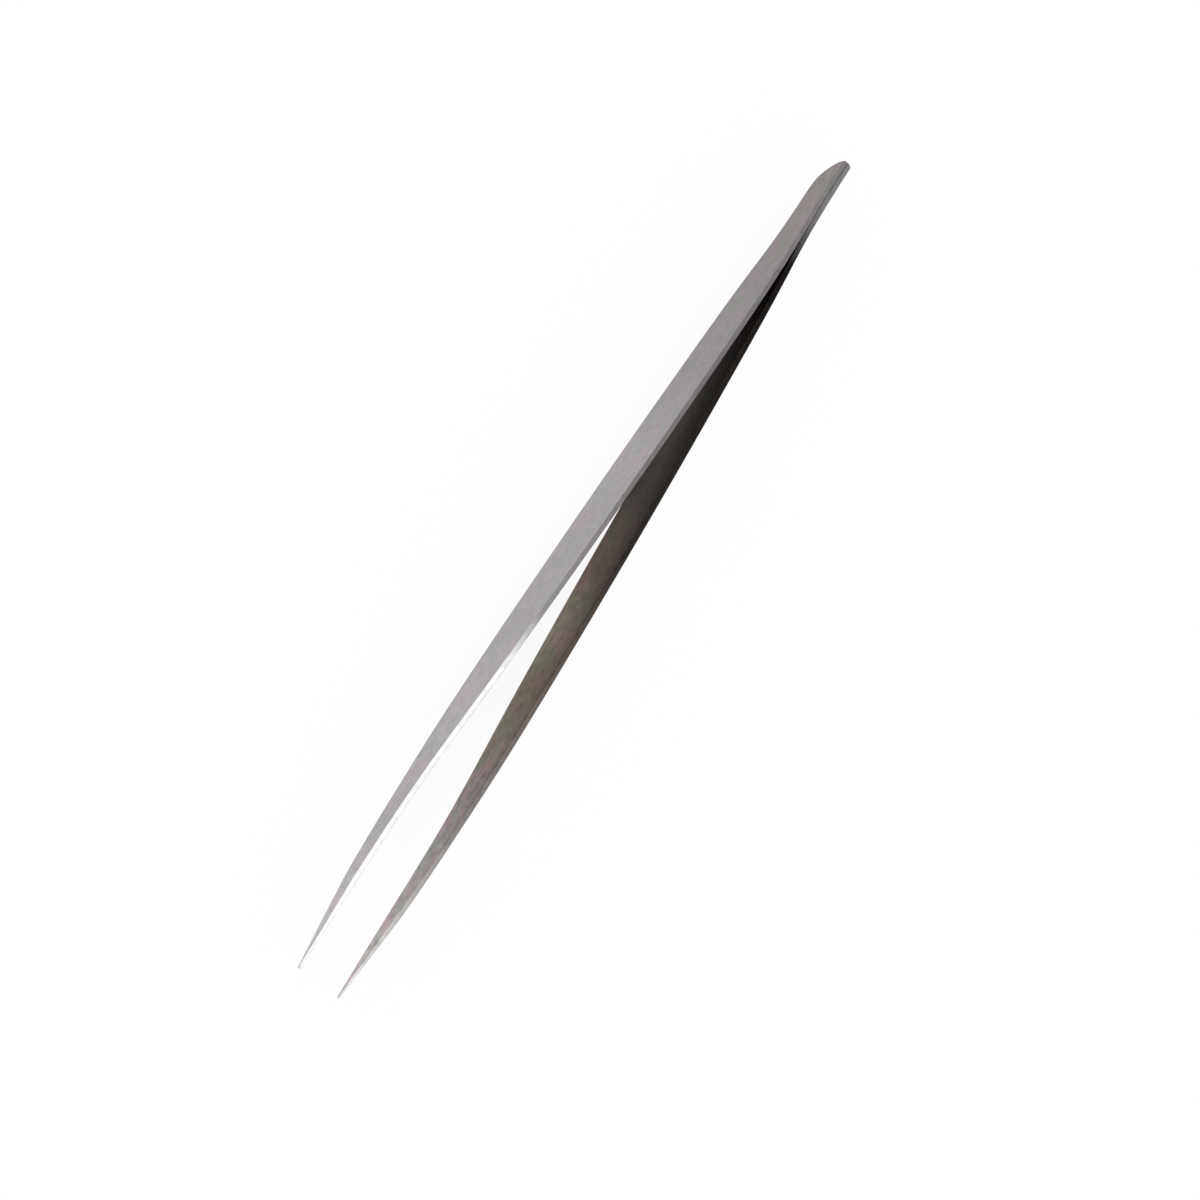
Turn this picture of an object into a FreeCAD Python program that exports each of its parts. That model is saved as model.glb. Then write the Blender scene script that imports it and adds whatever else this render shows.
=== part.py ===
"""Straight fine-point tweezers: two equal stainless pressings laid face to face at the head.

An arm has a plan outline, seen from outside, and a bowed side profile, seen from above as
the tweezers lie on their long edges.  The joined head ends on a slant with rounded corners,
so the arms are mirror twins: the back arm's blank has its slant the other way, and the
pressing is turned over about the long axis.

Frame: X runs from the head to the tips, Y across the opening, Z up along the blank's width.
The origin is under the middle of the tweezers, on the surface that they lie on.
"""
import FreeCAD, Part
import math
import os
import Sketcher

V = FreeCAD.Vector

# Driving sizes in millimetres and degrees
SIZES = {
    "OverallLength": 140.0,      # head end, before its corners are rounded, to tips
    "SheetThickness": 0.8,       # stock that the arms are pressed from
    "SeatLength": 11.0,          # flat at the head where the arms lie together
    "RootBendRadius": 180.0,     # bend that opens the arms past the seat
    "SpreadAngle": 2.43,         # lean of each straight arm away from the middle
    "BowRadius": 400.0,          # long bend that brings the points back together
    "ToeInAngle": 1.45,          # lean of each straight point towards the middle
    "PointLength": 14.0,         # straight point, ground thin on its outer face
    "PointThickness": 0.3,       # stock left at the tip
    "TipWidth": 0.3,             # width of the blank at the tip
    "EndWidth": 5.3,             # width across the head's end, before its corners are rounded
    "EndSkew": 2.9,              # how far the end's lower corner lies behind its upper one
    "UpperCorner": 0.5,          # radius of the end's forward corner
    "LowerCorner": 3.4,          # radius of the end's rear corner
    "EndBevelLength": 0.65,      # bevel that thins the end on its outer side: along the arm
    "EndBevelDepth": 0.6,        # and through the stock
    "HeadAt": 4.0,               # stations of the outline, measured from the head end
    "HeadWidth": 5.2,
    "NeckAt": 9.0,
    "NeckWidth": 5.35,
    "ShoulderAt": 15.0,
    "ShoulderWidth": 6.4,
    "FlareAt": 24.0,
    "FlareWidth": 8.35,
    "GripAt": 36.0,
    "GripWidth": 8.9,
    "BellyAt": 56.0,
    "BellyWidth": 9.58,
    "ForearmFromTip": 60.0,      # stations of the outline, measured back from the tip
    "ForearmWidth": 8.55,
    "TaperFromTip": 42.0,
    "TaperWidth": 7.0,
    "WaistFromTip": 28.0,
    "WaistWidth": 3.9,
    "PointRootFromTip": 14.0,
    "PointRootWidth": 3.25,
    "CutMargin": 2.0,            # how far the stock and the cuts reach past the blank
}
SHEET = "Sizes"

# Control stations of the outline's curve: name, where, measured from the tip, full width
STATIONS = [
    ("head", "HeadAt", False, "HeadWidth"),
    ("neck", "NeckAt", False, "NeckWidth"),
    ("shoulder", "ShoulderAt", False, "ShoulderWidth"),
    ("flare", "FlareAt", False, "FlareWidth"),
    ("grip", "GripAt", False, "GripWidth"),
    ("belly", "BellyAt", False, "BellyWidth"),
    ("forearm", "ForearmFromTip", True, "ForearmWidth"),
    ("taper", "TaperFromTip", True, "TaperWidth"),
    ("waist", "WaistFromTip", True, "WaistWidth"),
    ("point_root", "PointRootFromTip", True, "PointRootWidth"),
]
CURVE_DEGREE = 3

# The stock is as wide as the widest station
STOCK_WIDTH = "max(" + "; ".join(f"{SHEET}.{station[3]}" for station in STATIONS) + ")"

# Node name, turn about the long axis, and the blank's edge that its head end leans towards
ARMS = [("front_arm", 0.0, 1), ("back_arm", 180.0, -1)]

# Index codes of an edge's start, end and centre, and of the drawing's own axes and origin
START, END, CENTRE = 1, 2, 3
X_AXIS, Y_AXIS = -1, -2
ORIGIN = (-1, 1)


def make_sheet(doc):
    """The driving sizes, one named cell each."""
    sheet = doc.addObject("Spreadsheet::Sheet", SHEET)
    for row, (name, value) in enumerate(SIZES.items(), start=1):
        sheet.set(f"A{row}", name)
        sheet.set(f"B{row}", str(value))
        sheet.setAlias(f"B{row}", name)
    doc.recompute()
    return sheet


def new_sketch(body, name, role):
    """An empty sketch on one of the body's own origin planes."""
    plane = next(item for item in body.Origin.OriginFeatures if item.Role == role)
    sketch = body.newObject("Sketcher::SketchObject", name)
    sketch.AttachmentSupport = [(plane, "")]
    sketch.MapMode = "FlatFace"
    return sketch


def drive(sketch, name, constraint, formula):
    """Adds a named constraint whose value follows the sheet."""
    index = sketch.addConstraint(constraint)
    sketch.renameConstraint(index, name)
    sketch.setExpression(f"Constraints.{name}", formula)


def arc_between(centre, start, end):
    """Counter-clockwise arc about a centre, from one point to another."""
    first = start - centre
    last = end - centre
    circle = Part.Circle(centre, V(0, 0, 1), first.Length)
    return Part.ArcOfCircle(circle, math.atan2(first.y, first.x), math.atan2(last.y, last.x))


def side_profile(body):
    """Bowed section of the arm: flat seat, root bend, straight arm, long bow, ground point.

    The points are worked out first, so that the sketch starts where its constraints hold it.
    """
    spread = math.radians(SIZES["SpreadAngle"])
    toe_in = math.radians(SIZES["ToeInAngle"])
    margin = SIZES["CutMargin"]
    stock = SIZES["SheetThickness"]
    root_radius = SIZES["RootBendRadius"]
    bow_radius = SIZES["BowRadius"]
    point_length = SIZES["PointLength"]
    outward_of_arm = V(-math.sin(spread), -math.cos(spread), 0)
    outward_of_point = V(math.sin(toe_in), -math.cos(toe_in), 0)
    along_point = V(1, math.tan(toe_in), 0)

    # Inner face, from the head to the tip
    head = V(-margin, 0, 0)
    seat_end = V(SIZES["SeatLength"], 0, 0)
    root_centre = seat_end - V(0, root_radius, 0)
    root_end = root_centre - root_radius * outward_of_arm
    bow_end_x = SIZES["OverallLength"] - point_length
    bow_start_x = bow_end_x - bow_radius * (math.sin(toe_in) + math.sin(spread))
    bow_start = root_end + (bow_start_x - root_end.x) * V(1, -math.tan(spread), 0)
    bow_centre = bow_start - bow_radius * outward_of_arm
    bow_end = bow_centre + bow_radius * outward_of_point
    tip = bow_end + point_length * along_point
    stock_end = tip + margin * along_point

    # Outer face, one stock thickness outside as far as the ground point
    outer_head = head - V(0, stock, 0)
    outer_seat_end = seat_end - V(0, stock, 0)
    outer_root_end = root_end + stock * outward_of_arm
    outer_bow_start = bow_start + stock * outward_of_arm
    outer_bow_drop = math.sqrt((bow_radius + stock) ** 2 - (bow_end.x - bow_centre.x) ** 2)
    outer_bow_end = V(bow_end.x, bow_centre.y - outer_bow_drop, 0)
    outer_tip = tip - V(0, SIZES["PointThickness"], 0)
    ground = (outer_tip - outer_bow_end) * (1 / point_length)
    outer_stock_end = outer_tip + margin * ground

    sketch = new_sketch(body, body.Name + "_profile", "XY_Plane")
    line = Part.LineSegment
    (seat, root, arm, bow, point, end_cut, outer_point, outer_bow, outer_arm,
     outer_root, outer_seat, head_cut, tip_section) = sketch.addGeometry([
        line(head, seat_end),
        arc_between(root_centre, root_end, seat_end),
        line(root_end, bow_start),
        arc_between(bow_centre, bow_start, bow_end),
        line(bow_end, stock_end),
        line(stock_end, outer_stock_end),
        line(outer_stock_end, outer_bow_end),
        arc_between(bow_centre, outer_bow_start, outer_bow_end),
        line(outer_bow_start, outer_root_end),
        arc_between(root_centre, outer_root_end, outer_seat_end),
        line(outer_seat_end, outer_head),
        line(outer_head, head),
        line(tip, outer_tip),
    ], False)
    sketch.toggleConstruction(tip_section)

    rule = Sketcher.Constraint
    sketch.addConstraint([
        rule("PointOnObject", seat, END, X_AXIS),
        rule("Horizontal", seat),
        rule("Tangent", seat, END, root, END),
        rule("Tangent", root, START, arm, START),
        rule("Tangent", arm, END, bow, START),
        rule("Tangent", bow, END, point, START),
        rule("Coincident", point, END, end_cut, START),
        rule("Vertical", end_cut),
        rule("Coincident", end_cut, END, outer_point, START),
        rule("Coincident", outer_point, END, outer_bow, END),
        rule("Vertical", bow, END, outer_bow, END),
        rule("Coincident", bow, CENTRE, outer_bow, CENTRE),
        rule("Tangent", outer_bow, START, outer_arm, START),
        rule("Tangent", outer_arm, END, outer_root, START),
        rule("Coincident", root, CENTRE, outer_root, CENTRE),
        rule("Tangent", outer_root, END, outer_seat, START),
        rule("Horizontal", outer_seat),
        rule("Coincident", outer_seat, END, head_cut, START),
        rule("Coincident", head_cut, END, seat, START),
        rule("Vertical", head_cut),
        rule("PointOnObject", tip_section, START, point),
        rule("PointOnObject", tip_section, END, outer_point),
        rule("Vertical", tip_section),
    ])
    drive(sketch, "head_margin", rule("DistanceX", seat, START, *ORIGIN, margin),
          f"{SHEET}.CutMargin")
    drive(sketch, "seat_length", rule("DistanceX", *ORIGIN, seat, END, seat_end.x),
          f"{SHEET}.SeatLength")
    drive(sketch, "root_radius", rule("Radius", root, root_radius),
          f"{SHEET}.RootBendRadius")
    drive(sketch, "outer_root_radius", rule("Radius", outer_root, root_radius - stock),
          f"{SHEET}.RootBendRadius - {SHEET}.SheetThickness")
    drive(sketch, "spread", rule("Angle", arm, -spread),
          f"-{SHEET}.SpreadAngle * 1 deg")
    drive(sketch, "bow_radius", rule("Radius", bow, bow_radius),
          f"{SHEET}.BowRadius")
    drive(sketch, "outer_bow_radius", rule("Radius", outer_bow, bow_radius + stock),
          f"{SHEET}.BowRadius + {SHEET}.SheetThickness")
    drive(sketch, "toe_in", rule("Angle", point, toe_in),
          f"{SHEET}.ToeInAngle * 1 deg")
    drive(sketch, "bow_end", rule("DistanceX", *ORIGIN, bow, END, bow_end_x),
          f"{SHEET}.OverallLength - {SHEET}.PointLength")
    drive(sketch, "tip_place", rule("DistanceX", *ORIGIN, tip_section, START, tip.x),
          f"{SHEET}.OverallLength")
    drive(sketch, "tip_thickness", rule("DistanceY", tip_section, END, tip_section, START,
                                        SIZES["PointThickness"]),
          f"{SHEET}.PointThickness")
    drive(sketch, "tip_margin", rule("DistanceX", tip_section, START, point, END, margin),
          f"{SHEET}.CutMargin")
    return sketch


def end_corner(side, lean):
    """Where the head's end meets a long edge; side is 1 for the upper edge, -1 for the lower."""
    behind = 0.0 if side == lean else SIZES["EndSkew"]
    return V(behind, side * SIZES["EndWidth"] / 2, 0)


def outline_curve(side, lean):
    """Clamped curve along one long edge, from the head's end to the tip."""
    poles = [end_corner(side, lean)]
    for _, where, from_tip, width in STATIONS:
        along = SIZES["OverallLength"] - SIZES[where] if from_tip else SIZES[where]
        poles.append(V(along, side * SIZES[width] / 2, 0))
    poles.append(V(SIZES["OverallLength"], side * SIZES["TipWidth"] / 2, 0))
    knot_count = len(poles) - CURVE_DEGREE + 1
    repeats = [CURVE_DEGREE + 1] + [1] * (knot_count - 2) + [CURVE_DEGREE + 1]
    curve = Part.BSplineCurve()
    curve.buildFromPolesMultsKnots(poles, repeats, range(knot_count), False, CURVE_DEGREE)
    return curve


def blank_outline(body, lean):
    """Plan outline of the blank inside a frame of waste, for the cut that trims the arm.

    The head's end runs from the forward corner, on the edge that it leans towards, back to
    the rear corner.
    """
    sketch = new_sketch(body, body.Name + "_outline", "XZ_Plane")
    length = SIZES["OverallLength"]
    margin = SIZES["CutMargin"]
    half_stock = max(SIZES[station[3]] for station in STATIONS) / 2 + margin
    half_tip = SIZES["TipWidth"] / 2
    rule = Sketcher.Constraint
    line = Part.LineSegment

    upper = sketch.addGeometry(outline_curve(1, lean), False)
    lower = sketch.addGeometry(outline_curve(-1, lean), False)
    tip_end = sketch.addGeometry(line(V(length, half_tip, 0), V(length, -half_tip, 0)), False)
    head_end = sketch.addGeometry(line(end_corner(1, lean), end_corner(-1, lean)), False)
    upper_poles = pole_circles(sketch, upper)
    lower_poles = pole_circles(sketch, lower)
    for above, below in zip(upper_poles[1:], lower_poles[1:]):
        sketch.addConstraint(rule("Symmetric", above, CENTRE, below, CENTRE, X_AXIS))
    forward, rear = upper_poles[0], lower_poles[0]
    if lean < 0:
        forward, rear = rear, forward
    sketch.addConstraint([
        rule("Coincident", upper, START, head_end, START),
        rule("Coincident", lower, START, head_end, END),
        rule("Coincident", upper, END, tip_end, START),
        rule("Coincident", lower, END, tip_end, END),
        rule("PointOnObject", forward, CENTRE, Y_AXIS),
    ])
    drive(sketch, "end_width", rule("DistanceY", lower_poles[0], CENTRE, upper_poles[0], CENTRE,
                                    SIZES["EndWidth"]),
          f"{SHEET}.EndWidth")
    drive(sketch, "end_half", rule("DistanceY", *ORIGIN, upper_poles[0], CENTRE,
                                   SIZES["EndWidth"] / 2),
          f"{SHEET}.EndWidth / 2")
    drive(sketch, "end_skew", rule("DistanceX", *ORIGIN, rear, CENTRE, SIZES["EndSkew"]),
          f"{SHEET}.EndSkew")
    last = [("tip", "OverallLength", False, "TipWidth")]
    for circle, (name, where, from_tip, width) in zip(upper_poles[1:], STATIONS + last):
        along = length - SIZES[where] if from_tip else SIZES[where]
        place = f"{SHEET}.OverallLength - {SHEET}.{where}" if from_tip else f"{SHEET}.{where}"
        drive(sketch, name + "_place", rule("DistanceX", *ORIGIN, circle, CENTRE, along),
              place)
        drive(sketch, name + "_half", rule("DistanceY", *ORIGIN, circle, CENTRE,
                                           SIZES[width] / 2),
              f"{SHEET}.{width} / 2")

    corners = [V(-2 * margin, -half_stock, 0), V(length + 2 * margin, -half_stock, 0),
               V(length + 2 * margin, half_stock, 0), V(-2 * margin, half_stock, 0)]
    bottom, tip_side, top, head_side = sketch.addGeometry(
        [line(a, b) for a, b in zip(corners, corners[1:] + corners[:1])], False)
    sketch.addConstraint([
        rule("Coincident", bottom, END, tip_side, START),
        rule("Coincident", tip_side, END, top, START),
        rule("Coincident", top, END, head_side, START),
        rule("Coincident", head_side, END, bottom, START),
        rule("Horizontal", bottom),
        rule("Horizontal", top),
        rule("Vertical", tip_side),
        rule("Symmetric", head_side, START, head_side, END, X_AXIS),
    ])
    drive(sketch, "waste_half", rule("DistanceY", *ORIGIN, top, START, half_stock),
          f"({STOCK_WIDTH}) / 2 + {SHEET}.CutMargin")
    drive(sketch, "waste_head", rule("DistanceX", top, END, *ORIGIN, 2 * margin),
          f"2 * {SHEET}.CutMargin")
    drive(sketch, "waste_tip", rule("DistanceX", *ORIGIN, top, START, length + 2 * margin),
          f"{SHEET}.OverallLength + 2 * {SHEET}.CutMargin")
    return sketch


def pole_circles(sketch, curve):
    """Shows a curve's control points in the sketch and gives their circles in order."""
    first = sketch.GeometryCount
    sketch.exposeInternalGeometry(curve)
    count = sketch.Geometry[curve].NbPoles
    return list(range(first, first + count))


def edge_at(shape, corner):
    """Name of the edge that stands across the stock at a corner of the outline."""
    for number, edge in enumerate(shape.Edges, start=1):
        ends = [vertex.Point for vertex in edge.Vertexes]
        if all(abs(end.x - corner.x) < 1e-4 and abs(end.z - corner.y) < 1e-4 for end in ends):
            return f"Edge{number}"
    raise RuntimeError(f"no edge stands at the corner {corner}")


def round_corner(doc, body, base, name, corner, radius):
    """Rounds one corner of the head's end with a named radius."""
    rounding = body.newObject("PartDesign::Fillet", name)
    rounding.Base = (base, [edge_at(base.Shape, corner)])
    rounding.setExpression("Radius", f"{SHEET}.{radius}")
    doc.recompute()
    return rounding


def bevel_section(body):
    """Triangle, halfway across the arm, of what the bevel takes off the head's outer side."""
    length = SIZES["EndBevelLength"]
    depth = SIZES["EndBevelDepth"]
    stock = SIZES["SheetThickness"]
    run = length * (1 + stock / depth)
    low = V(SIZES["EndSkew"] / 2 + 2 * length, -(stock + depth), 0)
    high = V(low.x - run, 0, 0)
    corner = V(high.x, low.y, 0)

    sketch = new_sketch(body, body.Name + "_bevel_section", "XY_Plane")
    line = Part.LineSegment
    slope, drop, bottom = sketch.addGeometry(
        [line(low, high), line(high, corner), line(corner, low)], False)
    rule = Sketcher.Constraint
    sketch.addConstraint([
        rule("Coincident", slope, END, drop, START),
        rule("Coincident", drop, END, bottom, START),
        rule("Coincident", bottom, END, slope, START),
        rule("Vertical", drop),
        rule("Horizontal", bottom),
        rule("PointOnObject", slope, END, X_AXIS),
    ])
    drive(sketch, "slope_start", rule("DistanceX", *ORIGIN, slope, START, low.x),
          f"{SHEET}.EndSkew / 2 + 2 * {SHEET}.EndBevelLength")
    drive(sketch, "slope_drop", rule("DistanceY", slope, START, *ORIGIN, -low.y),
          f"{SHEET}.SheetThickness + {SHEET}.EndBevelDepth")
    drive(sketch, "slope_run", rule("DistanceX", slope, END, slope, START, run),
          f"{SHEET}.EndBevelLength * (1 + {SHEET}.SheetThickness / {SHEET}.EndBevelDepth)")
    return sketch


def make_arm(doc, name, turn, lean):
    """One arm: the bowed stock, blanked to its outline, then rounded at the corners of its
    head's end and bevelled along that end, on the outer side."""
    body = doc.addObject("PartDesign::Body", name)
    body.Label = name

    stock = body.newObject("PartDesign::Pad", name + "_stock")
    stock.Profile = side_profile(body)
    stock.Midplane = True
    stock.setExpression("Length", f"{STOCK_WIDTH} + 2 * {SHEET}.CutMargin")
    doc.recompute()

    blanking = body.newObject("PartDesign::Pocket", name + "_blanking")
    blanking.Profile = blank_outline(body, lean)
    blanking.Type = "ThroughAll"
    blanking.Midplane = True
    doc.recompute()
    if blanking.Shape.Volume > 0.9 * stock.Shape.Volume:
        raise RuntimeError(f"{name}: the blanking cut removed too little")

    forward = round_corner(doc, body, blanking, name + "_forward_corner",
                           end_corner(lean, lean), "UpperCorner")
    rear = round_corner(doc, body, forward, name + "_rear_corner",
                        end_corner(-lean, lean), "LowerCorner")

    bevel = body.newObject("PartDesign::Pocket", name + "_end_bevel")
    bevel.Profile = bevel_section(body)
    bevel.Midplane = True
    bevel.setExpression("Length", f"{SHEET}.EndWidth + 2 * {SHEET}.CutMargin")
    bevel.UseCustomVector = True
    bevel.Direction = V(SIZES["EndSkew"], 0, -lean * SIZES["EndWidth"])
    bevel.setExpression("Direction.x", f"{SHEET}.EndSkew")
    bevel.setExpression("Direction.z", f"{-lean} * {SHEET}.EndWidth")
    doc.recompute()
    if bevel.Shape.Volume > rear.Shape.Volume - 0.01:
        raise RuntimeError(f"{name}: the end's bevel removed too little")

    box = body.Shape.optimalBoundingBox()
    middle = V(-(box.XMin + box.XMax) / 2, 0, box.ZMax)
    body.Placement = FreeCAD.Placement(middle, FreeCAD.Rotation(V(1, 0, 0), turn))
    return body


def check(doc, arms):
    """Stops the build if any object failed or any arm isn't one sound solid."""
    for item in doc.Objects:
        if "Invalid" in item.State or "Error" in item.State:
            raise RuntimeError(f"{item.Name} failed: {item.State}")
    for arm in arms:
        shape = arm.Shape
        if shape.isNull() or not shape.isValid() or len(shape.Solids) != 1:
            raise RuntimeError(f"{arm.Label} isn't one sound solid")


def main():
    doc = FreeCAD.newDocument("tweezers")
    make_sheet(doc)
    arms = [make_arm(doc, name, turn, lean) for name, turn, lean in ARMS]
    doc.recompute()
    check(doc, arms)
    os.makedirs("parts", exist_ok=True)
    for arm in arms:
        arm.Shape.exportStep(f"parts/{arm.Label}.step")
        box = arm.Shape.optimalBoundingBox()
        print(f"{arm.Label}: {arm.Shape.Volume:.1f} mm3, {len(arm.Shape.Faces)} faces, "
              f"x {box.XMin:.2f} to {box.XMax:.2f}, y {box.YMin:.2f} to {box.YMax:.2f}, "
              f"z {box.ZMin:.3f} to {box.ZMax:.3f}")


main()
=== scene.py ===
# %% [markdown]
# # Straight fine-point tweezers
#
# The object is two slim arms of stainless steel, laid flat against each other at the head,
# bowed apart along the grip and ground to needle points. The solids come from the packed
# model. This lesson rounds their rims, gives them their steel, and builds the table, the
# light and the camera.

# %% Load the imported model
import math

import bmesh
import bpy
from mathutils import Matrix, Vector


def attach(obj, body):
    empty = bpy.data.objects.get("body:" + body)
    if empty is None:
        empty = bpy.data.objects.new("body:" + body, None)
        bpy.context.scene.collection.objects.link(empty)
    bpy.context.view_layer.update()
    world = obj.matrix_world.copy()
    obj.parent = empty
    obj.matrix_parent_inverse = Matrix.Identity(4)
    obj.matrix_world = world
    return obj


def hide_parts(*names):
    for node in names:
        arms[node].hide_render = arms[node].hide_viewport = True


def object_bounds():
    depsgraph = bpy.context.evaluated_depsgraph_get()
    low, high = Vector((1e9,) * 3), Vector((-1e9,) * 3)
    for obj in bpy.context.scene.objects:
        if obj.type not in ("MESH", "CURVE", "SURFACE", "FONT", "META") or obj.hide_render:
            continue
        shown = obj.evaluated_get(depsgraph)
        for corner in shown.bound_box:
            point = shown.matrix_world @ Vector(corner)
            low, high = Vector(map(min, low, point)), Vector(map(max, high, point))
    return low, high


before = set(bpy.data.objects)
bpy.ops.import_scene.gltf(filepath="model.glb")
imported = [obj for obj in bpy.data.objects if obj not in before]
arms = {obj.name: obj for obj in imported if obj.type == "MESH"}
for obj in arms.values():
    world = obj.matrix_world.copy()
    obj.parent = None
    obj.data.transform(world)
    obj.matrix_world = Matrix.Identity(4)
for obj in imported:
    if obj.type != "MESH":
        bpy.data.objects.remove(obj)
cad_low, cad_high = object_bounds()
print("arms:", sorted(arms))
print("CAD box in mm:", [round(1000 * side, 2) for side in cad_high - cad_low])

# %% [markdown]
# ## The arms, with soft rims
#
# Such an arm is blanked from strip and bent, and here no rim is left sharp and the head ends
# in one smooth curve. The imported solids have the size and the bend, with sharp rims. A Bevel
# modifier would stumble over their long thin triangles, so each arm is lofted anew. One loop
# of points goes round the stock at each station along the arm, and quads join the loops. The
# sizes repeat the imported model's, in millimetres from the head's end. EDGE_POLES pairs a
# place with the half width that the smooth edge is pulled to there.

# %% Sizes of an arm
MM = 0.001
ARM_LENGTH = 140.0
STOCK = 0.8
POINT_START = 126.0
POINT_STOCK = 0.3
EDGE_POLES = [
    (0, 2.65), (4, 2.6), (9, 2.675), (15, 3.2), (24, 4.175), (36, 4.45),
    (56, 4.79), (80, 4.275), (98, 3.5), (112, 1.95), (126, 1.625), (140, 0.15),
]
LEAN_DEGREES = [(0, 0), (11, 0), (18.63, 2.43), (98.92, 2.43), (126, -1.45), (140, -1.45)]


def between(pairs, x):
    """Value at x on the straight lines that join pairs of a place and a value there."""
    for (x0, value0), (x1, value1) in zip(pairs, pairs[1:]):
        if x <= x1:
            return value0 + (value1 - value0) * (x - x0) / (x1 - x0)
    return pairs[-1][1]


EDGE_FINENESS = 32


def smooth_edge(poles):
    """Points on the smooth curve that control points pull along."""
    curve = bpy.data.curves.new("long_edge", "CURVE")
    curve.resolution_u = EDGE_FINENESS
    spline = curve.splines.new("NURBS")
    spline.points.add(len(poles) - 1)
    for point, (x, half) in zip(spline.points, poles):
        point.co = (x, half, 0, 1)
    spline.order_u = 4
    spline.use_endpoint_u = True
    holder = bpy.data.objects.new("long_edge", curve)
    mesh = bpy.data.meshes.new_from_object(holder)
    points = [(vertex.co.x, vertex.co.y) for vertex in mesh.vertices]
    bpy.data.objects.remove(holder)
    bpy.data.curves.remove(curve)
    bpy.data.meshes.remove(mesh)
    return points


long_edge = smooth_edge(EDGE_POLES)
print("points on a long edge:", len(long_edge))
print("widest in mm:", round(2 * max(half for _, half in long_edge), 2))

# %% [markdown]
# ## The head's end and the rims
#
# Seen from the side, the head's end runs from its upper corner back and down to the lower
# edge in one curve, which starts steep and flattens out. A power of the distance that is
# left gives such a curve. The outer side of the end is rounded off more than other rims.

# %% Outline, thickness and rims at any place
HEAD_START = 0.35
HEAD_END = 4.9
HEAD_FULLNESS = 2.6
UPPER_CORNER = 0.6
NIB_START = 0.46
NIB_STOCK = 0.25
NIB_LENGTH = 0.65
RIM = 0.14
HEAD_RIM = [(0, 0.4), (3.5, 0.4), (6, RIM), (ARM_LENGTH, RIM)]


def outline_at(x):
    """Lower and upper edge at a place, from the middle of the width."""
    half = between(long_edge, x)
    low, high = -half, half
    if x < HEAD_END:
        left = (HEAD_END - x) / (HEAD_END - HEAD_START)
        low = half - 2 * half * (1 - left ** HEAD_FULLNESS)
    if x < HEAD_START + UPPER_CORNER:
        short = HEAD_START + UPPER_CORNER - x
        high = half - UPPER_CORNER + math.sqrt(UPPER_CORNER ** 2 - short ** 2)
    return low, high


def thickness_at(x):
    if x > POINT_START:
        return between([(POINT_START, STOCK), (ARM_LENGTH, POINT_STOCK)], x)
    if x < NIB_START + NIB_LENGTH:
        short = 1 - (x - NIB_START) / NIB_LENGTH
        return NIB_STOCK + (STOCK - NIB_STOCK) * math.sqrt(1 - short ** 2)
    return STOCK


low, high = outline_at(NIB_START)
print("width and thickness where the head starts:", round(high - low, 2), thickness_at(NIB_START))

# %% [markdown]
# ## Lofting
#
# A section is a rectangle with four round corners. Beside each corner, one more point lies
# on the flat, so that smooth shading bends only the rim and leaves the wide faces flat.

# %% Loft both arms
RIM_STEPS = 5
RIM_OF_WIDTH = 0.3
RIM_OF_STOCK = 0.45
FLAT_SHARE = 0.25
HEAD_STATIONS = 36
HEAD_CROWDING = 1.7


def section_at(x):
    """Loop of points round the stock: height from the middle, depth from the inner face."""
    low, high = outline_at(x)
    thick = thickness_at(x)
    rims = [RIM, RIM, RIM, between(HEAD_RIM, x)]
    loop = []
    for corner, rim in enumerate(rims):
        radius = min(rim, RIM_OF_WIDTH * (high - low), RIM_OF_STOCK * thick)
        height = low + radius if corner in (0, 3) else high - radius
        depth = radius if corner in (0, 1) else thick - radius
        for step in range(-1, RIM_STEPS + 2):
            turned = min(max(step, 0), RIM_STEPS) / RIM_STEPS
            angle = math.pi * (1 + corner / 2 + turned / 2)
            slide = FLAT_SHARE * radius * (step - turned * RIM_STEPS)
            loop.append((
                height + radius * math.cos(angle) - slide * math.sin(angle),
                depth + radius * math.sin(angle) + slide * math.cos(angle),
            ))
    return loop


def arm_stations():
    """Places of the sections: close together round the head's end, then one a millimetre."""
    reach = HEAD_END + 1 - NIB_START
    head = [NIB_START + reach * (i / HEAD_STATIONS) ** HEAD_CROWDING
            for i in range(HEAD_STATIONS)]
    return head + [float(x) for x in range(int(HEAD_END) + 2, int(ARM_LENGTH) + 1)]


def loft_arm(name, side):
    """One arm; side is -1 for the front arm and 1 for the back one."""
    middle = (cad_low.z + cad_high.z) / (2 * MM)
    shift = cad_high.x / MM - ARM_LENGTH
    stations = arm_stations()
    points = []
    inner = 0.0
    last = 0.0
    for x in stations:
        inner += (x - last) * math.tan(math.radians(between(LEAN_DEGREES, (x + last) / 2)))
        last = x
        for height, depth in section_at(x):
            points.append(MM * Vector((x + shift, side * (inner + depth), middle + height)))
    around = len(points) // len(stations)
    faces = [tuple(range(around)), tuple(range(len(points) - around, len(points)))]
    for i in range(len(stations) - 1):
        for j in range(around):
            here = i * around + j
            beside = i * around + (j + 1) % around
            faces.append((here, beside, beside + around, here + around))
    mesh = bpy.data.meshes.new(name)
    mesh.from_pydata(points, [], faces)
    shape = bmesh.new()
    shape.from_mesh(mesh)
    bmesh.ops.recalc_face_normals(shape, faces=shape.faces)
    shape.to_mesh(mesh)
    shape.free()
    for face in mesh.polygons:
        face.use_smooth = len(face.vertices) == 4
    arm = bpy.data.objects.new(name, mesh)
    bpy.context.scene.collection.objects.link(arm)
    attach(arm, "root")
    return arm


soft_arms = {node: loft_arm(node.replace("arm", "soft_arm"), side)
             for node, side in (("front_arm", -1), ("back_arm", 1))}
for node, arm in soft_arms.items():
    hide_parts(node)
    print(arm.name, "faces:", len(arm.data.polygons))

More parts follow.
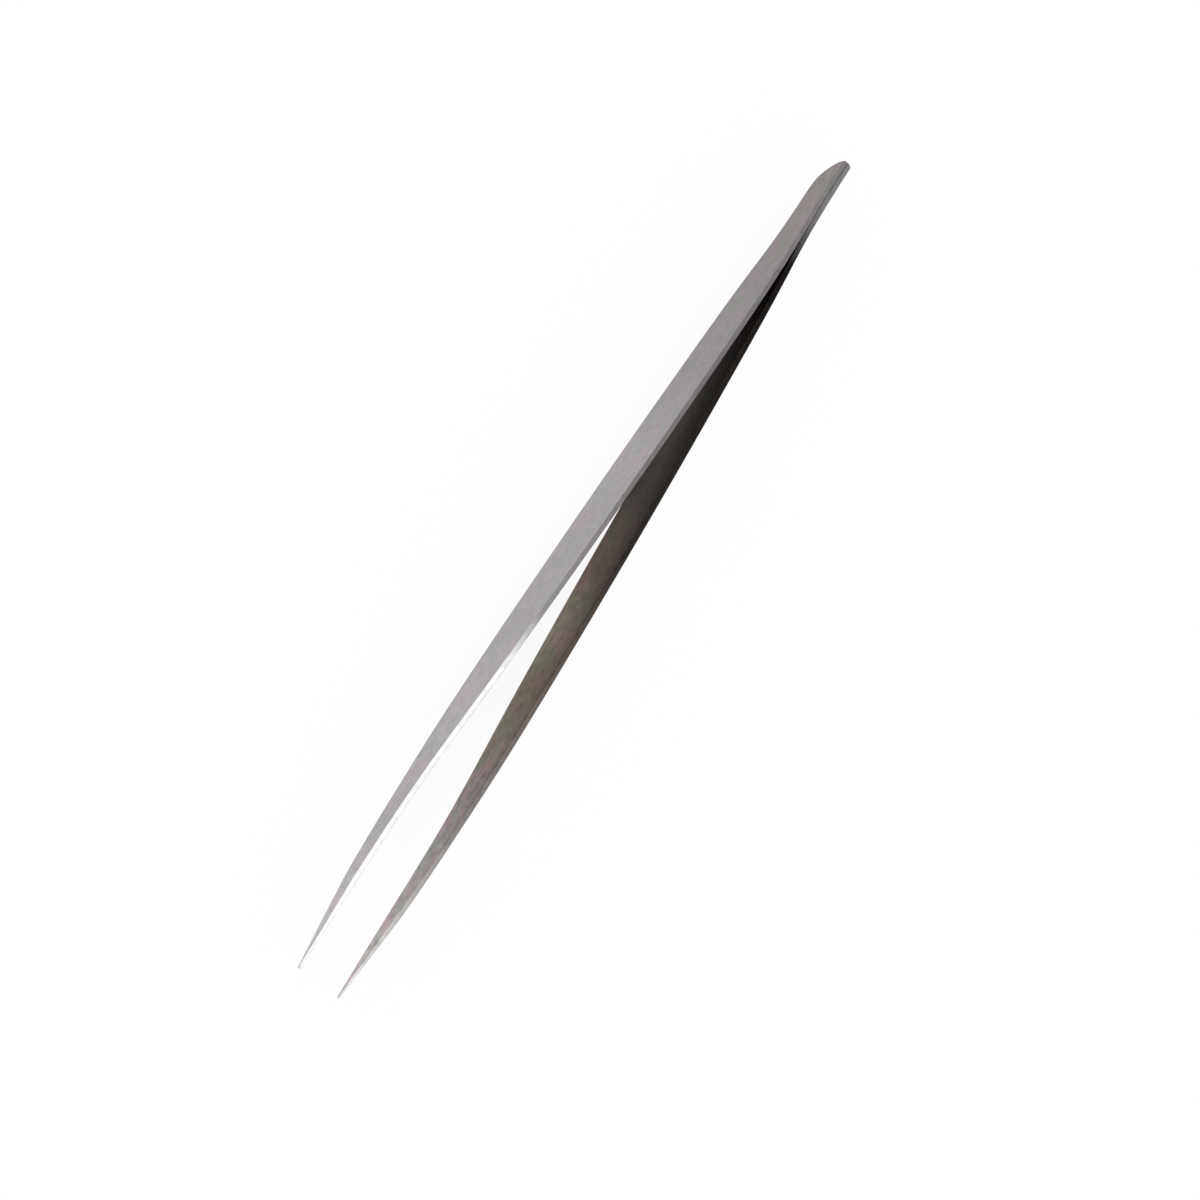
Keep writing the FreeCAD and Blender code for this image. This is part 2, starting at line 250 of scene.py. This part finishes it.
# %% [markdown]
# ## The camera
#
# The photograph is read here as the view of a level camera with a long lens, turned by a
# quarter in the frame, so that "up" on the table points to the right of the picture. Other
# readings, with the camera further round, match the outline at least as well, and this one
# was taken because it is level. A camera is built from three directions: where it looks,
# which way is right in the picture, and which way is up in the picture.

# %% Place the camera
PICTURE = 1200
AZIMUTH = math.radians(35.74)
ELEVATION = math.radians(61.97)
DISTANCE = 0.6
PIXELS_PER_MM = 7.221
TARGET_IN_PICTURE = (586.9, 560.3)
SENSOR_WIDTH = 36
NEAR = 0.01
FAR = 20

target = Vector((0, 0, (cad_low.z + cad_high.z) / 2))
away = Vector((
    math.sin(AZIMUTH) * math.cos(ELEVATION),
    -math.cos(AZIMUTH) * math.cos(ELEVATION),
    math.sin(ELEVATION),
))
level_right = (-away).cross(Vector((0, 0, 1))).normalized()
level_up = level_right.cross(-away)

focal_pixels = PIXELS_PER_MM * DISTANCE / MM
aim_right = (PICTURE / 2 - TARGET_IN_PICTURE[0]) / focal_pixels
aim_down = (PICTURE / 2 - TARGET_IN_PICTURE[1]) / focal_pixels
forward = (-away + aim_right * level_up + aim_down * level_right).normalized()
picture_right = (level_up - forward * level_up.dot(forward)).normalized()
picture_up = picture_right.cross(forward)

lens = bpy.data.cameras.new("camera")
lens.sensor_width = SENSOR_WIDTH
lens.lens = SENSOR_WIDTH * focal_pixels / PICTURE
lens.clip_start = NEAR
lens.clip_end = FAR
camera = bpy.data.objects.new("camera", lens)
turn = Matrix((picture_right, picture_up, -forward)).transposed().to_4x4()
camera.matrix_world = Matrix.Translation(target + DISTANCE * away) @ turn
bpy.context.scene.collection.objects.link(camera)
bpy.context.scene.camera = camera
print("lens in mm:", round(lens.lens, 1))

# %% [markdown]
# ## Shader maths that reads like arithmetic
#
# A material is a sheet of nodes. Wiring them one by one hides the idea, so a small class
# wraps an output socket and answers to + - * with Math nodes. Any other node comes from
# one method, which takes the node's type, its settings and what goes into its sockets.


# %% A socket that can be used in sums
class Signal:
    """An output socket of a shader node."""

    def __init__(self, recipe, socket):
        self.recipe = recipe
        self.socket = socket

    def maths(self, operation, first, second):
        return self.recipe.node("ShaderNodeMath", {"operation": operation}, {0: first, 1: second})

    def __add__(self, other):
        return self.maths("ADD", self, other)

    __radd__ = __add__

    def __sub__(self, other):
        return self.maths("SUBTRACT", self, other)

    def __rsub__(self, other):
        return self.maths("SUBTRACT", other, self)

    def __mul__(self, other):
        return self.maths("MULTIPLY", self, other)

    __rmul__ = __mul__


class Recipe:
    """The node sheet of a material or of the world."""

    def __init__(self, tree):
        self.tree = tree
        self.tree.nodes.clear()

    def node(self, kind, settings=None, inputs=None, output=0):
        made = self.tree.nodes.new(kind)
        for name, value in (settings or {}).items():
            if name == "stops":
                self.set_stops(made.color_ramp, value)
            else:
                setattr(made, name, value)
        for name, value in (inputs or {}).items():
            if isinstance(value, Signal):
                self.tree.links.new(value.socket, made.inputs[name])
            else:
                made.inputs[name].default_value = value
        if made.outputs:
            return Signal(self, made.outputs[output])

    @staticmethod
    def set_stops(ramp, stops):
        while len(ramp.elements) < len(stops):
            ramp.elements.new(0.5)
        for element, (place, colour) in zip(ramp.elements, stops):
            element.position = place
            element.color = colour

    def ramp(self, signal, stops):
        return self.node("ShaderNodeValToRGB", {"stops": stops}, {"Fac": signal})

    def step(self, signal, limit):
        """1 where the signal is above the limit, 0 elsewhere."""
        return self.node("ShaderNodeMath", {"operation": "GREATER_THAN"}, {0: signal, 1: limit})

    def tone(self, colour, level):
        """A colour made lighter or darker by a plain number or signal."""
        return self.node("ShaderNodeVectorMath", {"operation": "SCALE"},
                         {0: colour, "Scale": level})

    def split(self, vector):
        """The three parts of a vector."""
        parts = self.node("ShaderNodeSeparateXYZ", inputs={0: vector})
        return [Signal(self, socket) for socket in parts.socket.node.outputs]

    def mix(self, factor, first, second, blend="MIX"):
        """Colour first where factor is 0 and second where it is 1."""
        return self.node(
            "ShaderNodeMix",
            {"data_type": "RGBA", "blend_type": blend},
            {0: factor, 6: first, 7: second},
            output=2,
        )


def grey(level):
    return (level, level, level, 1)


def new_material(name):
    material = bpy.data.materials.new(name)
    material.use_nodes = True
    return material, Recipe(material.node_tree)


# %% [markdown]
# ## Where on the arm
#
# The steel's colours, painted shade and reflections among them, depend on where they are:
# how far along the arm, and on which of its sides. Both come from the Texture Coordinate
# node. Object gives the place in metres, and Normal the way a side faces, and neither moves
# with the camera. A side that faces mostly up or down is an edge. A side that faces the
# middle plane is an inner one: there the place across and the way it faces have opposite
# signs, so their product is below 0.

# %% Read the place and the side
LENGTH = cad_high.x - cad_low.x
HEIGHT = cad_high.z - cad_low.z
EDGE_LIMIT = 0.5
INNER_LIMIT = 0.00002


def where_on_arm(recipe):
    """Place, share of the length and of the height, and masks of the edges and inner side."""
    place = recipe.node("ShaderNodeTexCoord", output="Object")
    facing = recipe.node("ShaderNodeTexCoord", output="Normal")
    x, y, z = recipe.split(place)
    _, outward, upward = recipe.split(facing)
    along = (x - cad_low.x) * (1 / LENGTH)
    up = (z - cad_low.z) * (1 / HEIGHT)
    edge = recipe.step(upward * upward, EDGE_LIMIT)
    inner = recipe.step(-1 * y * outward, INNER_LIMIT)
    return place, along, up, edge, inner


# %% [markdown]
# ## The steel
#
# Such arms are ground and given a satin finish by fine brushing along their length. Bare
# steel shows its surroundings, and the photograph's surroundings aren't known. So these
# colour ramps, tuned by comparing renders with the photograph, carry two things at once: the
# steel's own grey, and the dark or bright things that each side most likely mirrors there.
# That is why the inner faces are near black past the head, one long edge turns white from
# the middle on, and its twin stays dark until close to the points. The inner faces have one
# ramp for their lower and one for their upper part. Painted reflections match from the
# photograph's side, and don't move with the light or the view as real ones would. For other
# light, paler and more even ramps are the better choice.

# %% Steel colours with painted reflections and shade, along the arm from the head at 0 to the tips at 1
# Wide outer faces: the steel's grey with painted shade, darkest at the head and paling towards
# the points.
FACE_STEEL_AND_SHADE = [
    (0.00, (0.32, 0.29, 0.28, 1)),
    (0.16, (0.36, 0.335, 0.335, 1)),
    (0.27, (0.39, 0.37, 0.37, 1)),
    (0.40, (0.50, 0.47, 0.48, 1)),
    (0.57, (0.49, 0.47, 0.48, 1)),
    (0.70, (0.54, 0.51, 0.52, 1)),
    (0.84, (0.51, 0.49, 0.50, 1)),
    (1.00, (0.66, 0.65, 0.66, 1)),
]
# Front arm's narrow edges: painted reflection, dark grey up to a little past the middle and then
# white to the points.
FRONT_EDGE_STEEL_AND_REFLECTION = [
    (0.00, (0.22, 0.21, 0.21, 1)),
    (0.26, (0.18, 0.165, 0.17, 1)),
    (0.42, (0.21, 0.185, 0.185, 1)),
    (0.58, (0.28, 0.27, 0.28, 1)),
    (0.65, (0.93, 0.93, 0.93, 1)),
    (1.00, (0.98, 0.98, 0.98, 1)),
]
# Back arm's narrow edges: painted dark reflection, near black for most of the length and paling
# only towards the points.
BACK_EDGE_STEEL_AND_REFLECTION = [
    (0.00, (0.22, 0.21, 0.21, 1)),
    (0.06, (0.20, 0.19, 0.19, 1)),
    (0.13, (0.010, 0.009, 0.009, 1)),
    (0.48, (0.028, 0.024, 0.021, 1)),
    (0.62, (0.115, 0.093, 0.080, 1)),
    (0.80, (0.24, 0.22, 0.21, 1)),
    (0.90, (0.48, 0.46, 0.45, 1)),
    (1.00, (0.80, 0.79, 0.78, 1)),
]
# Inner faces, lower and upper part: painted shade and reflection from the narrow gap between the
# arms, dark past the head and paling towards the points; the two ramps paint it differently low
# and high.
INNER_BOTTOM_STEEL_AND_SHADE = [
    (0.08, (0.20, 0.19, 0.18, 1)),
    (0.14, (0.002, 0.001, 0.001, 1)),
    (0.22, (0.002, 0.001, 0.001, 1)),
    (0.40, (0.016, 0.009, 0.005, 1)),
    (0.50, (0.145, 0.11, 0.085, 1)),
    (0.57, (0.285, 0.23, 0.19, 1)),
    (0.64, (0.215, 0.175, 0.135, 1)),
    (0.72, (0.28, 0.24, 0.21, 1)),
    (0.81, (0.39, 0.35, 0.35, 1)),
    (1.00, (0.66, 0.63, 0.61, 1)),
]
INNER_TOP_STEEL_AND_SHADE = [
    (0.08, (0.20, 0.19, 0.18, 1)),
    (0.14, (0.09, 0.07, 0.055, 1)),
    (0.22, (0.12, 0.09, 0.07, 1)),
    (0.40, (0.095, 0.075, 0.055, 1)),
    (0.50, (0.105, 0.082, 0.062, 1)),
    (0.57, (0.165, 0.13, 0.11, 1)),
    (0.64, (0.15, 0.12, 0.09, 1)),
    (0.72, (0.205, 0.18, 0.155, 1)),
    (0.81, (0.32, 0.29, 0.28, 1)),
    (1.00, (0.60, 0.57, 0.55, 1)),
]
print("steel colours:", len(FACE_STEEL_AND_SHADE), "faces,", len(INNER_TOP_STEEL_AND_SHADE), "inner")

# %% [markdown]
# ## Grain and mottle
#
# A noise texture is drawn out along the arm when its space is squeezed along one axis. The
# grain is such a noise for hair-thin scratches. It shades the colour a little, changes the
# roughness, and lifts a bump too small to see as a shape. The speckle is a coarser noise,
# about a millimetre across, that shades the inner faces more than the outer ones. The mottle
# is coarser still and leans the colour to pink or to green, on the wide sides alone. Satin
# metal brightens less at a glancing angle than the plain shader makes it, so a grey tint on
# the shader's own socket holds that sheen back.

# %% Make the grain and the mottle
MOTTLE = [
    (0.40, (0.80, 0.915, 0.835, 1)),
    (0.50, (0.89, 0.885, 0.885, 1)),
    (0.60, (1.00, 0.855, 0.930, 1)),
]
GLANCING_TINT = grey(0.7)
GRAIN_PER_METRE = (1600, 6000, 6000)
GRAIN_DETAIL = 3.0
SPECKLE_PER_METRE = (700, 1000, 1000)
SPECKLE_DETAIL = 4.0
MOTTLE_PER_METRE = (300, 560, 560)
MOTTLE_DETAIL = 2.0
OUTER_MOTTLE = 0.5
INNER_MOTTLE = 1.0
OUTER_SPECKLE = 0.4
INNER_SPECKLE = 1.2
GRAIN_SHADE = 0.5
NOISE_MEAN = 0.5
SMOOTHEST = 0.30
ROUGHER_BY = 0.16
SCRATCH_STRENGTH = 0.2
SCRATCH_DEPTH = 0.00002


def stretched_noise(recipe, place, scale, detail):
    """Noise whose grains are drawn out along the arm: scale is grains per metre."""
    space = recipe.node("ShaderNodeVectorMath", {"operation": "MULTIPLY"}, {0: place, 1: scale})
    return recipe.node("ShaderNodeTexNoise", inputs={
        "Vector": space, "Scale": 1.0, "Detail": detail})


def brushed_steel_with_painted_light(name, edge_steel_and_reflection):
    material, recipe = new_material(name)
    place, along, up, edge, inner = where_on_arm(recipe)
    grain = stretched_noise(recipe, place, GRAIN_PER_METRE, GRAIN_DETAIL)
    speckle = stretched_noise(recipe, place, SPECKLE_PER_METRE, SPECKLE_DETAIL)
    mottle = stretched_noise(recipe, place, MOTTLE_PER_METRE, MOTTLE_DETAIL)

    # Inner faces: the lower and upper ramps of painted shade and reflection, blended by height.
    inner_steel_and_shade = recipe.mix(
        up, recipe.ramp(along, INNER_BOTTOM_STEEL_AND_SHADE), recipe.ramp(along, INNER_TOP_STEEL_AND_SHADE))
    side = recipe.mix(inner, recipe.ramp(along, FACE_STEEL_AND_SHADE), inner_steel_and_shade)
    lean = OUTER_MOTTLE + (INNER_MOTTLE - OUTER_MOTTLE) * inner
    tinted = recipe.mix(lean, side, recipe.ramp(mottle, MOTTLE), "MULTIPLY")
    # Narrow edges: the arm's own ramp of painted reflection.
    steel = recipe.mix(edge, tinted, recipe.ramp(along, edge_steel_and_reflection))
    depth = OUTER_SPECKLE + (INNER_SPECKLE - OUTER_SPECKLE) * inner
    shade = depth * (speckle - NOISE_MEAN) + GRAIN_SHADE * (grain - NOISE_MEAN)
    colour = recipe.tone(steel, 1 + shade)

    brushed = recipe.node("ShaderNodeBump", inputs={
        "Height": grain, "Strength": SCRATCH_STRENGTH, "Distance": SCRATCH_DEPTH})
    shader = recipe.node("ShaderNodeBsdfPrincipled", inputs={
        "Base Color": colour,
        "Metallic": 1.0,
        "Specular Tint": GLANCING_TINT,
        "Roughness": SMOOTHEST + ROUGHER_BY * grain,
        "Normal": brushed,
    })
    recipe.node("ShaderNodeOutputMaterial", inputs={"Surface": shader})
    return material


# %% Give each arm its steel
# The twin arms get different painted reflections on their narrow edges.
EDGES = {"front_arm": FRONT_EDGE_STEEL_AND_REFLECTION, "back_arm": BACK_EDGE_STEEL_AND_REFLECTION}

for name, edge_steel_and_reflection in EDGES.items():
    steel = brushed_steel_with_painted_light(name + "_satin_steel", edge_steel_and_reflection)
    soft_arms[name].data.materials.append(steel)
    for slot in arms[name].material_slots:
        slot.material = steel
    print(name, "has", steel.name)

# %% [markdown]
# ## The table
#
# The photograph has a plain white ground. A large flat sheet of white, dull paper does this.
# Where the paper is seen, by the camera or in the steel, most of it is a plain glow of
# strength 1, which is white. The rest is real diffuse paper, which keeps the soft shadow.

# %% Lay the white table
TABLE_HALF = 6.0
TABLE_DROP = 0.00002
GLOW_SHARE = 0.92
PAPER = grey(0.95)
WHITE = grey(1.0)


def white_paper():
    material, recipe = new_material("white_paper")
    paper = recipe.node("ShaderNodeBsdfDiffuse", inputs={"Color": PAPER})
    glow = recipe.node("ShaderNodeEmission", inputs={"Color": WHITE, "Strength": 1.0})
    by_camera = recipe.node("ShaderNodeLightPath", output="Is Camera Ray")
    by_gloss = recipe.node("ShaderNodeLightPath", output="Is Glossy Ray")
    by_glass = recipe.node("ShaderNodeLightPath", output="Is Transmission Ray")
    share = GLOW_SHARE * (by_camera + by_gloss + by_glass)
    sheet = recipe.node("ShaderNodeMixShader", inputs={0: share, 1: paper, 2: glow})
    recipe.node("ShaderNodeOutputMaterial", inputs={"Surface": sheet})
    return material


table_mesh = bpy.data.meshes.new("table")
corners = [(-1, -1), (1, -1), (1, 1), (-1, 1)]
table_mesh.from_pydata(
    [(x * TABLE_HALF, y * TABLE_HALF, -TABLE_DROP) for x, y in corners], [], [(0, 1, 2, 3)]
)
table_mesh.materials.append(white_paper())
table = bpy.data.objects.new("table", table_mesh)
bpy.context.scene.collection.objects.link(table)
print("table side in m:", 2 * TABLE_HALF)

# %% [markdown]
# ## The light
#
# Steel shows what stands round it, so the room matters more than the lamps. The world is
# a pale room, brighter overhead than round the horizon, as under a large soft light tent.
# Over its upper half the mean is a little over 0.9, at which a colour renders about as it is
# written.

# %% Light the room
ROOM = [
    (0.00, grey(0.55)),
    (0.35, grey(0.90)),
    (0.80, grey(1.00)),
    (1.00, grey(1.00)),
]
ROOM_LIGHT = 1.06

world = bpy.data.worlds.new("room")
world.use_nodes = True
bpy.context.scene.world = world
room = Recipe(world.node_tree)
direction = room.node("ShaderNodeTexCoord", output="Generated")
_, _, upward = room.split(direction)
background = room.node("ShaderNodeBackground", inputs={
    "Color": room.ramp(upward, ROOM), "Strength": ROOM_LIGHT})
room.node("ShaderNodeOutputWorld", inputs={"Surface": background})
bpy.context.scene.view_settings.view_transform = "Standard"
print("room light:", ROOM_LIGHT)
